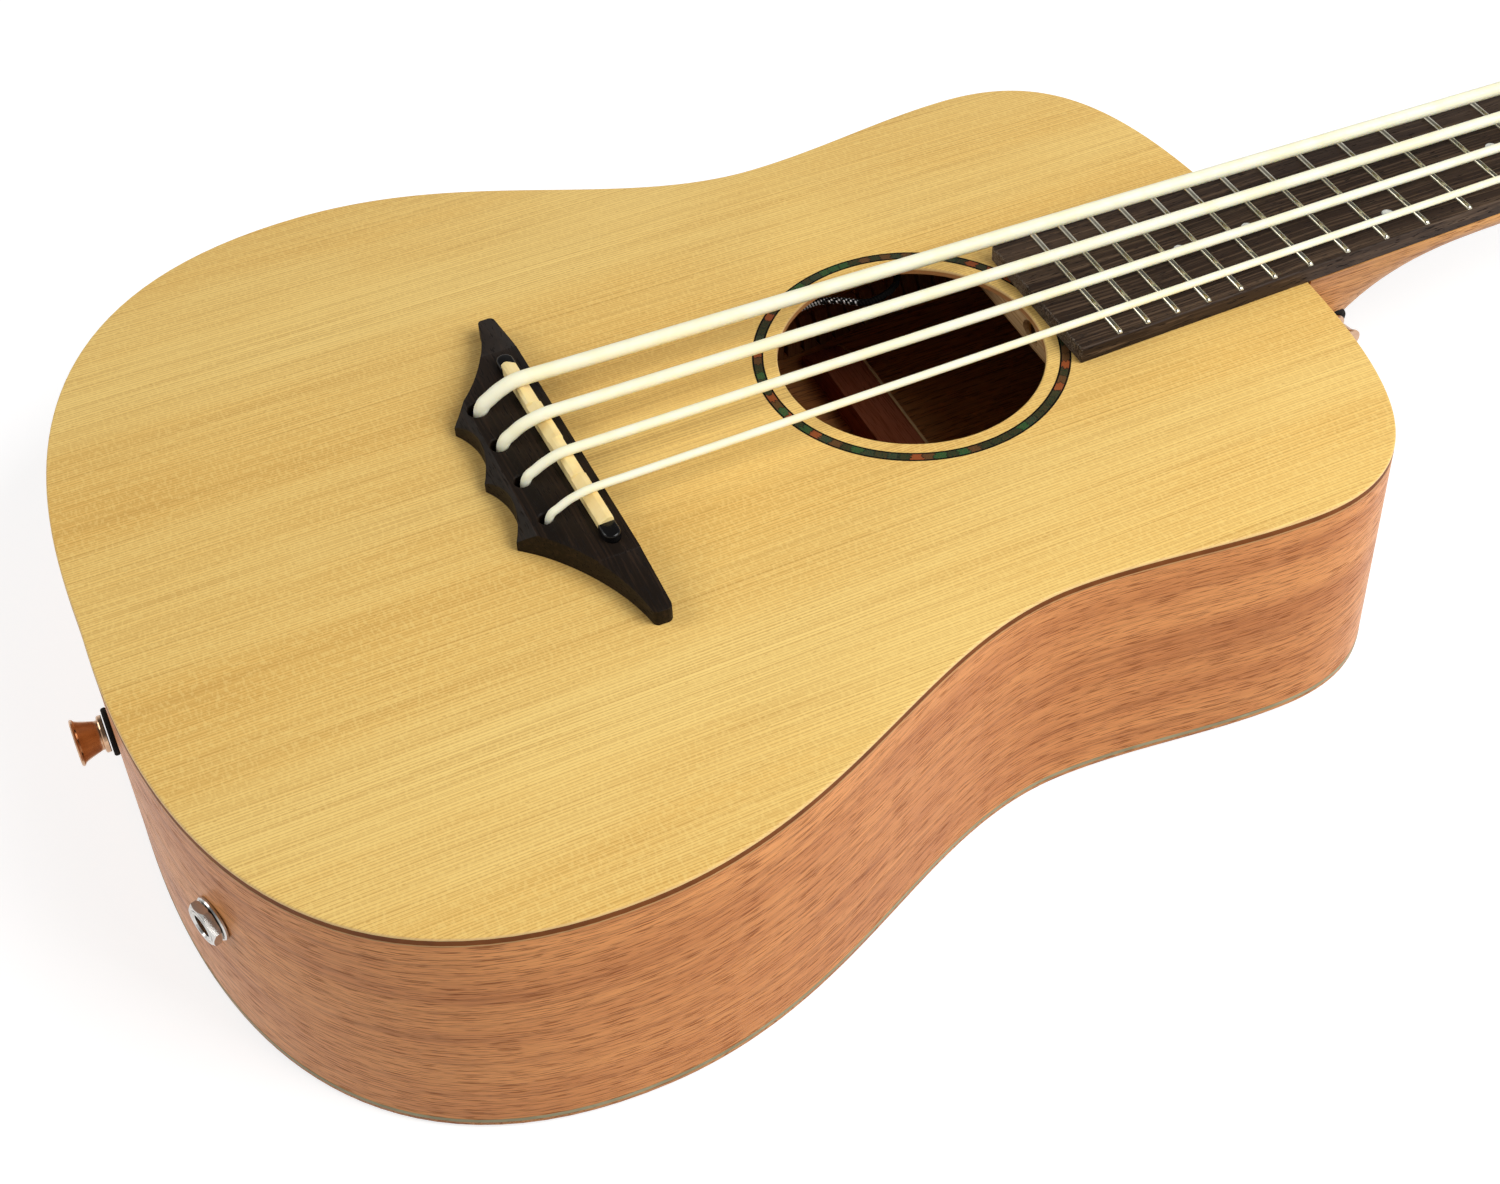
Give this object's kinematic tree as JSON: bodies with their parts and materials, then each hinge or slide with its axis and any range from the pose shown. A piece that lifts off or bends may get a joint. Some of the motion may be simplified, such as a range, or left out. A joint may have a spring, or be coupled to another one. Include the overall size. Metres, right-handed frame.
{
  "type": "bass ukulele",
  "caption": "Short-scale acoustic-electric bass ukulele with a dreadnought-style body, fretted neck, polymer strings, bat-wing bridge, open worm-gear tuners and strap buttons.",
  "frame": {"origin": "on the underside of the back, under the middle of the whole length and width", "axes": "+X from the tail to the headstock, +Y towards the bass (thickest) string, +Z from the back to the soundboard"},
  "size_m": [0.8324, 0.2974, 0.0986],
  "materials": {
    "strap_button_tail": "bright plated",
    "strap_felt_tail": "black felt",
    "strap_button_heel": "bright plated",
    "strap_felt_heel": "black felt",
    "soundboard": "satin varnished spruce",
    "rosette": "gloss shell inlay between black lines",
    "edge_strip": "satin dark wood",
    "back": "satin mahogany",
    "side_bass": "satin mahogany",
    "side_treble": "satin mahogany",
    "lining_top_bass": "raw kerfed lining",
    "lining_top_treble": "raw kerfed lining",
    "lining_back_bass": "raw kerfed lining",
    "lining_back_treble": "raw kerfed lining",
    "neck_block": "raw wood",
    "tail_block": "raw wood",
    "upper_brace": "raw spruce",
    "tone_bar": "raw spruce",
    "x_brace": "raw spruce",
    "back_centre_strip": "raw mahogany",
    "back_brace_1": "raw mahogany",
    "back_brace_2": "raw mahogany",
    "back_brace_3": "raw mahogany",
    "bridge": "satin rosewood",
    "saddle": "polished bone-coloured plastic",
    "saddle_end_bass": "polished black plastic",
    "saddle_end_treble": "polished black plastic",
    "pickup_strip": "brass shield",
    "bridge_plate": "raw hardwood",
    "output_jack": "bright plated",
    "jack_washer": "bright plated",
    "jack_nut": "bright plated",
    "pickup_lead": "tinned braid",
    "neck": "satin mahogany",
    "truss_rod": "plain steel",
    "truss_rod_nut": "plain brass",
    "fingerboard": "oiled rosewood with bright frets",
    "nut": "polished bone-coloured plastic",
    "heel_cap": "satin rosewood",
    "headstock_veneer": "satin rosewood",
    "tuner_plate_e": "bright plated",
    "tuner_bushing_e": "bright plated",
    "tuner_key_e": "bright plated",
    "tuner_post_e": "bright plated",
    "tuner_plate_a": "bright plated",
    "tuner_bushing_a": "bright plated",
    "tuner_key_a": "bright plated",
    "tuner_post_a": "bright plated",
    "tuner_plate_d": "bright plated",
    "tuner_bushing_d": "bright plated",
    "tuner_key_d": "bright plated",
    "tuner_post_d": "bright plated",
    "tuner_plate_g": "bright plated",
    "tuner_bushing_g": "bright plated",
    "tuner_key_g": "bright plated",
    "tuner_post_g": "bright plated",
    "string_e": "smooth cream-white polymer",
    "string_a": "smooth cream-white polymer",
    "string_d": "smooth cream-white polymer",
    "string_g": "smooth cream-white polymer"
  },
  "bodies": {
    "body": {"strap_button_tail": "strap_button_tail", "strap_felt_tail": "strap_felt_tail", "strap_button_heel": "strap_button_heel", "strap_felt_heel": "strap_felt_heel", "soundboard": "soundboard", "rosette": "rosette", "edge_strip": "edge_strip", "back": "back", "side_bass": "side_bass", "side_treble": "side_treble", "lining_top_bass": "lining_top_bass", "lining_top_treble": "lining_top_treble", "lining_back_bass": "lining_back_bass", "lining_back_treble": "lining_back_treble", "neck_block": "neck_block", "tail_block": "tail_block", "upper_brace": "upper_brace", "tone_bar": "tone_bar", "x_brace": "x_brace", "back_centre_strip": "back_centre_strip", "back_brace_1": "back_brace_1", "back_brace_2": "back_brace_2", "back_brace_3": "back_brace_3", "bridge": "bridge", "saddle": "saddle", "saddle_end_bass": "saddle_end_bass", "saddle_end_treble": "saddle_end_treble", "pickup_strip": "pickup_strip", "bridge_plate": "bridge_plate", "output_jack": "output_jack", "jack_washer": "jack_washer", "jack_nut": "jack_nut", "pickup_lead": "pickup_lead", "neck": "neck", "truss_rod": "truss_rod", "fingerboard": "fingerboard", "nut": "nut", "heel_cap": "heel_cap", "headstock_veneer": "headstock_veneer", "tuner_plate_e": "tuner_plate_e", "tuner_bushing_e": "tuner_bushing_e", "tuner_plate_a": "tuner_plate_a", "tuner_bushing_a": "tuner_bushing_a", "tuner_plate_d": "tuner_plate_d", "tuner_bushing_d": "tuner_bushing_d", "tuner_plate_g": "tuner_plate_g", "tuner_bushing_g": "tuner_bushing_g", "string_e": "string_e", "string_a": "string_a", "string_d": "string_d", "string_g": "string_g"},
    "tuner_key_e": {"tuner_key_e": "tuner_key_e"},
    "tuner_key_a": {"tuner_key_a": "tuner_key_a"},
    "tuner_key_d": {"tuner_key_d": "tuner_key_d"},
    "tuner_key_g": {"tuner_key_g": "tuner_key_g"},
    "tuner_post_e": {"tuner_post_e": "tuner_post_e"},
    "tuner_post_a": {"tuner_post_a": "tuner_post_a"},
    "tuner_post_d": {"tuner_post_d": "tuner_post_d"},
    "tuner_post_g": {"tuner_post_g": "tuner_post_g"},
    "truss_rod_nut": {"truss_rod_nut": "truss_rod_nut"}
  },
  "joints": [
    {"name": "tuner_key_e_turn", "type": "hinge", "parent": "body", "child": "tuner_key_e", "pos_m": [0.32193, 0.0235, 0.05048], "axis": [0, 1, 0], "continuous": true},
    {"name": "tuner_key_a_turn", "type": "hinge", "parent": "body", "child": "tuner_key_a", "pos_m": [0.37064, 0.0215, 0.03923], "axis": [0, 1, 0], "continuous": true},
    {"name": "tuner_key_d_turn", "type": "hinge", "parent": "body", "child": "tuner_key_d", "pos_m": [0.37064, -0.0215, 0.03923], "axis": [0, -1, 0], "continuous": true},
    {"name": "tuner_key_g_turn", "type": "hinge", "parent": "body", "child": "tuner_key_g", "pos_m": [0.32193, -0.0235, 0.05048], "axis": [0, -1, 0], "continuous": true},
    {"name": "tuner_post_e_turn", "type": "hinge", "parent": "body", "child": "tuner_post_e", "pos_m": [0.31734, 0.0235, 0.07063], "axis": [0.225, 0, 0.9744], "continuous": true, "deforming": ["string_e"]},
    {"name": "tuner_post_a_turn", "type": "hinge", "parent": "body", "child": "tuner_post_a", "pos_m": [0.36606, 0.0215, 0.05938], "axis": [0.225, 0, 0.9744], "continuous": true, "deforming": ["string_a"]},
    {"name": "tuner_post_d_turn", "type": "hinge", "parent": "body", "child": "tuner_post_d", "pos_m": [0.36606, -0.0215, 0.05938], "axis": [0.225, 0, 0.9744], "continuous": true, "deforming": ["string_d"]},
    {"name": "tuner_post_g_turn", "type": "hinge", "parent": "body", "child": "tuner_post_g", "pos_m": [0.31734, -0.0235, 0.07063], "axis": [0.225, 0, 0.9744], "continuous": true, "deforming": ["string_g"]},
    {"name": "truss_rod_nut_turn", "type": "hinge", "parent": "body", "child": "truss_rod_nut", "pos_m": [-0.11329, 0, 0.0731], "axis": [1, 0, 0], "range_deg": [-180, 180]}
  ],
  "couplings": [
    {"joint": "tuner_post_e_turn", "follows": "tuner_key_e_turn", "ratio": -0.0625},
    {"joint": "tuner_post_a_turn", "follows": "tuner_key_a_turn", "ratio": -0.0625},
    {"joint": "tuner_post_d_turn", "follows": "tuner_key_d_turn", "ratio": 0.0625},
    {"joint": "tuner_post_g_turn", "follows": "tuner_key_g_turn", "ratio": 0.0625}
  ]
}
